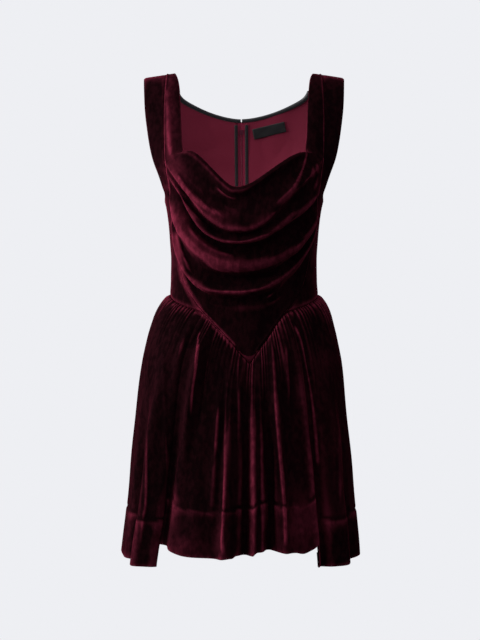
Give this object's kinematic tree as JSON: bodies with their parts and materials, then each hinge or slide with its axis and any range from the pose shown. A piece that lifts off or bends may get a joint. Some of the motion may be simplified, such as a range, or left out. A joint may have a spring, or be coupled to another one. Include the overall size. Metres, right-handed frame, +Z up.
{
  "type": "mini dress",
  "caption": "Sleeveless velvet mini dress with a draped cowl front, wide straps, a pointed waist and a gathered skirt with a deep hem, filled out as worn.",
  "frame": {"origin": "midway between the two shoulder seams, where the wearer's shoulders hold the dress", "axes": "+Z up, -Y the way the front faces, +X to the viewer's right when looking at the front"},
  "size_m": [0.4009, 0.323, 0.8082],
  "materials": {
    "velvet": "wine silk velvet, deep and dark face on, bright where it turns away",
    "lining": "matt wine lining",
    "binding": "black bias binding",
    "zip_tape": "wine woven tape",
    "label": "black woven label, bare",
    "zip_metal": "wine enamel"
  },
  "bodies": {
    "dress": {"cowl_front": "velvet", "side_front_left": "velvet", "side_front_right": "velvet", "back_left": "velvet", "back_right": "velvet", "skirt_front": "velvet", "skirt_back_left": "velvet", "skirt_back_right": "velvet", "hem_front": "velvet", "hem_back_left": "velvet", "hem_back_right": "velvet", "lining_back_left": "lining", "lining_back_right": "lining", "neck_binding_left": "binding", "neck_binding_right": "binding", "zip_binding_left": "binding", "zip_binding_right": "binding", "zip_tape_left": "zip_tape", "zip_tape_right": "zip_tape", "label": "label", "zip_slider": "zip_metal"},
    "pull": {"zip_pull": "zip_metal"}
  },
  "joints": [
    {"name": "pull_swing", "type": "hinge", "parent": "dress", "child": "pull", "pos_m": [-0.00435, 0.06933, -0.08362], "axis": [1, 0, 0], "range_deg": [0, 150]}
  ]
}
